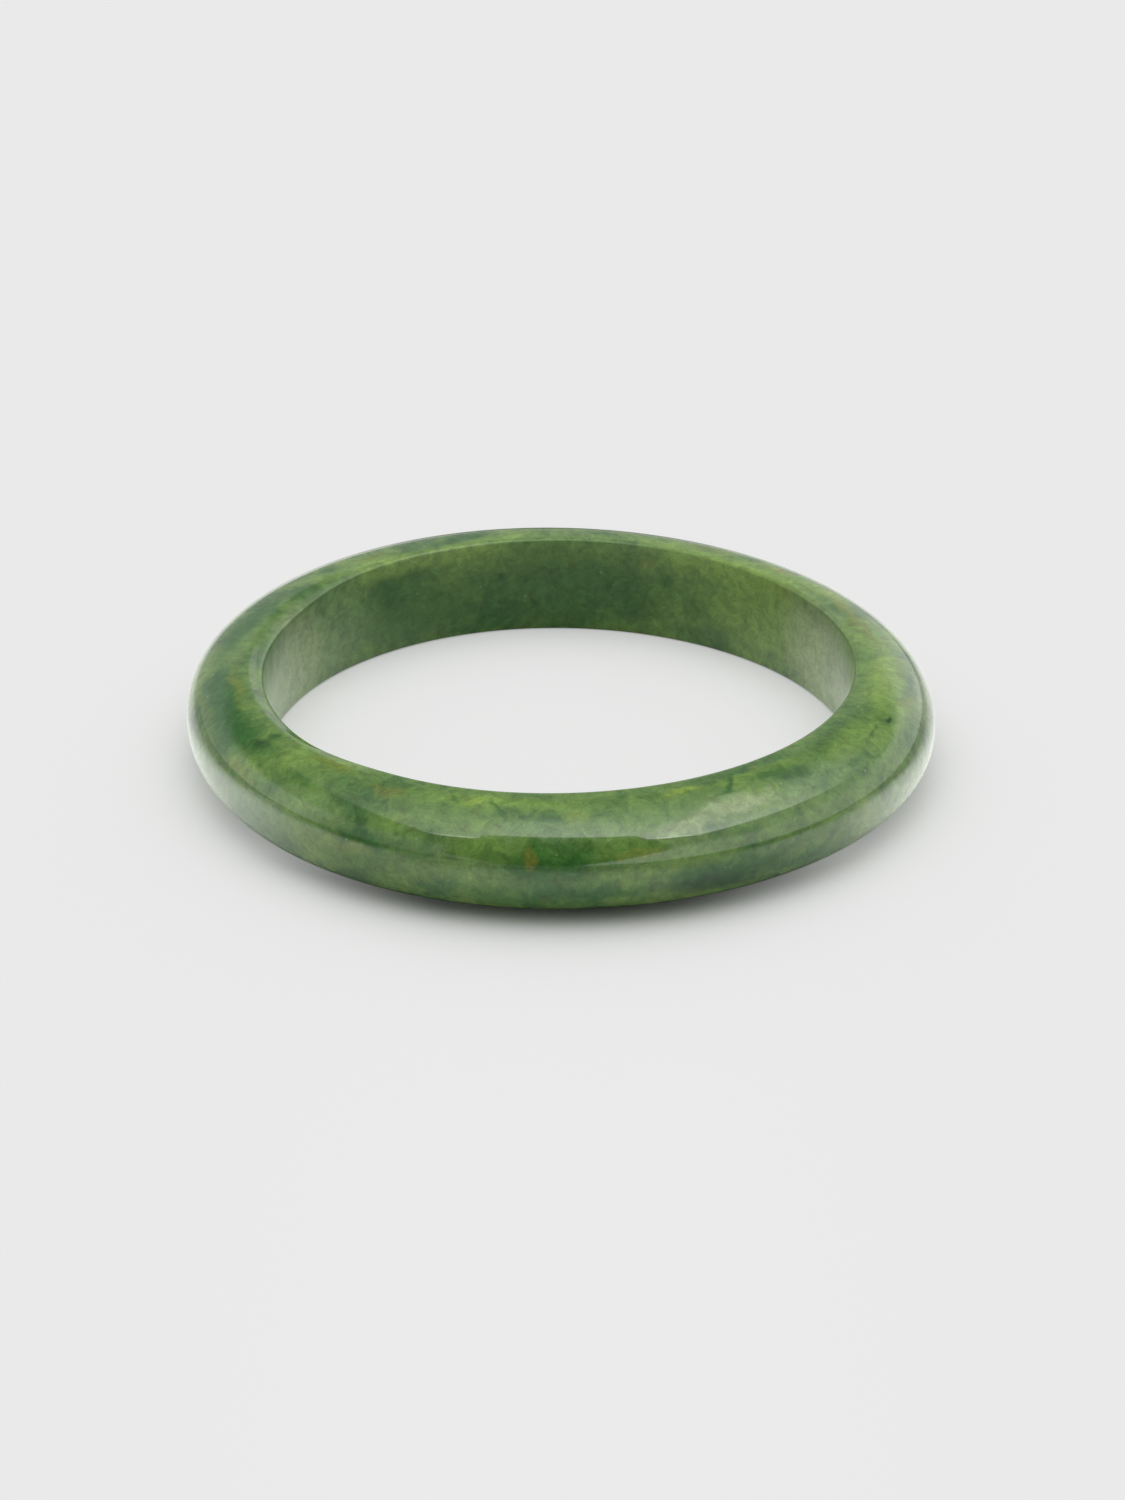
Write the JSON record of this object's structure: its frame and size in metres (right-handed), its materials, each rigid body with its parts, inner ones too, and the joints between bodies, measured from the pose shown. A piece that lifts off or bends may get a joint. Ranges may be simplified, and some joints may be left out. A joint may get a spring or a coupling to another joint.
{
  "type": "bangle bracelet",
  "caption": "Closed rigid bangle of polished mottled green jade, with a D-shaped section: flat bore, domed outside. Slips over the hand.",
  "frame": {"origin": "on the bore's axis, at the lower end face that the ring rests on", "axes": "+Z along the bore's axis, up; -Y is the ring's front and +X its right"},
  "size_m": [0.0733, 0.0732, 0.0103],
  "materials": {
    "jade": "polished nephrite jade, mottled green, slightly translucent, gloss"
  },
  "bodies": {
    "root": {"bangle_ring": "jade"}
  },
  "joints": []
}
